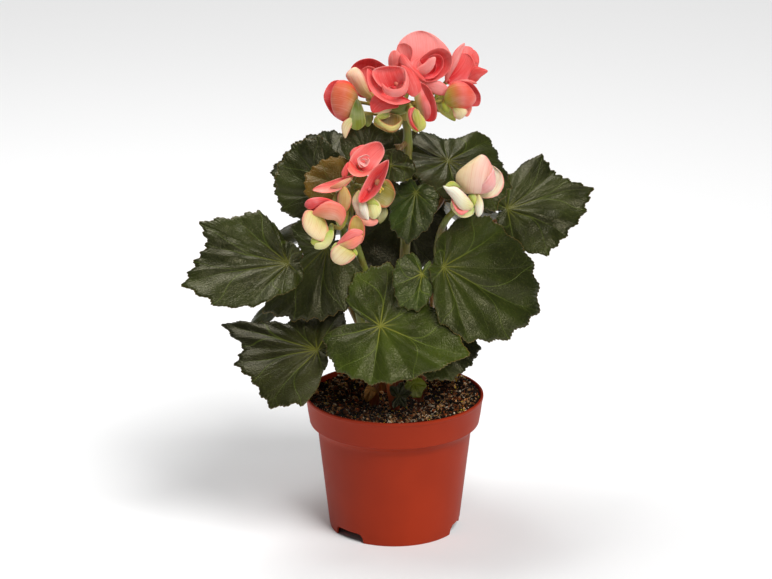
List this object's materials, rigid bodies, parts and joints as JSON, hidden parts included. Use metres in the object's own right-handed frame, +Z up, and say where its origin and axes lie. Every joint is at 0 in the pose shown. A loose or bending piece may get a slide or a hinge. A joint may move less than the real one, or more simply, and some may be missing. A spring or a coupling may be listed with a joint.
{
  "type": "potted begonia",
  "caption": "Potted begonia with dark lobed leaves and double salmon-pink flowers, rooted in soil in a round plastic nursery pot.",
  "frame": {"origin": "centre of the pot's foot, on the plane it stands on", "axes": "+Z up; -Y is the front, the side the picture shows; +X is to the right as seen from the front"},
  "size_m": [0.2964, 0.1882, 0.3721],
  "materials": {
    "pot": "satin terracotta-coloured plastic",
    "soil": "rough, crumbly, moist",
    "leaf": "satin, quilted between pale veins",
    "young_leaf": "satin, bronze green",
    "stem": "smooth, fleshy",
    "petal": "soft satin, salmon pink",
    "pale_petal": "soft satin, cream with pink edges",
    "bract": "satin, yellow green"
  },
  "bodies": {
    "root": {"pot": "pot", "soil": "soil", "shoot_left": "stem", "shoot_centre": "stem", "shoot_right": "stem", "shoot_front": "stem", "shoot_back_left": "stem", "shoot_back_right": "stem", "leaf_left_upper": "leaf", "leaf_left_lower": "leaf", "leaf_left_middle": "leaf", "leaf_front": "leaf", "leaf_right_front": "leaf", "leaf_right": "leaf", "leaf_right_upper": "leaf", "leaf_left_top": "leaf", "leaf_left_crown": "leaf", "leaf_crown": "leaf", "leaf_centre": "leaf", "leaf_inner": "leaf", "leaf_bronze": "young_leaf", "leaf_right_low": "leaf", "leaf_folded": "leaf", "leaf_small_top": "leaf", "leaf_small_low": "leaf", "leaf_small_green": "leaf", "leaf_withered": "young_leaf", "leaf_back_left": "leaf", "leaf_back_top": "leaf", "leaf_back_right": "leaf", "leaf_back_left_low": "leaf", "leaf_back_right_low": "leaf", "leaf_back_low": "leaf", "leaf_side_left": "leaf", "leaf_side_right": "leaf", "flower_top_left": "petal", "flower_top_back_left": "petal", "flower_top_front": "petal", "flower_top_crown": "petal", "flower_top_back": "petal", "flower_top_right": "petal", "flower_top_low_right": "petal", "flower_top_hanging": "petal", "bud_top_left": "pale_petal", "bud_top_right": "pale_petal", "flower_mid_upper": "petal", "flower_mid_right": "petal", "flower_mid_left": "petal", "flower_low_left": "petal", "flower_low_centre": "pale_petal", "flower_low_right": "pale_petal", "bract_right": "bract", "bract_left": "bract", "bract_top_left": "bract", "bract_top_right": "bract", "flower_right": "pale_petal", "flower_right_low": "pale_petal"}
  },
  "joints": []
}
